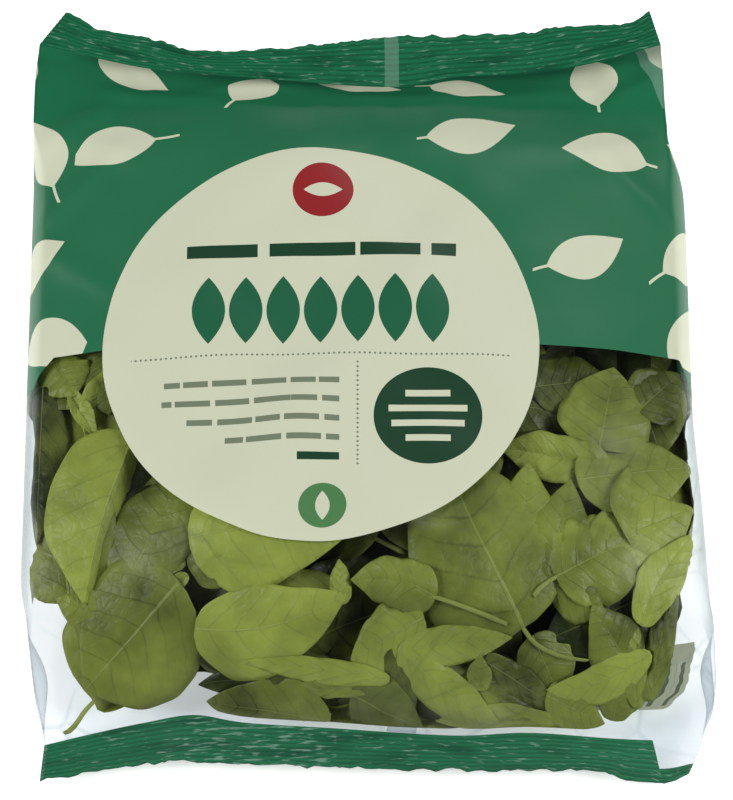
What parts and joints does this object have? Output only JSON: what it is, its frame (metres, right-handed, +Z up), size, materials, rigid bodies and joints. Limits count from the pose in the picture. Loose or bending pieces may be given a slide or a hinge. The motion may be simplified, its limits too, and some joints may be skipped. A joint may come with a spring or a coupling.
{
  "type": "bag of spinach",
  "caption": "Clear film pillow bag of baby spinach leaves with a green printed top, a cream label disc and crimped end seals, lying on its back.",
  "frame": {"origin": "middle of the bag's box, on the table under the back", "axes": "+Y from the bottom seal to the top seal, +X to the bag's right as its front is read, +Z up out of the front"},
  "size_m": [0.246, 0.2932, 0.0635],
  "materials": {
    "film": "clear glossy film",
    "print": "green and cream print under glossy film",
    "leaf": "soft satin leaf"
  },
  "bodies": {
    "root": {"bag": "film"}
  },
  "joints": []
}
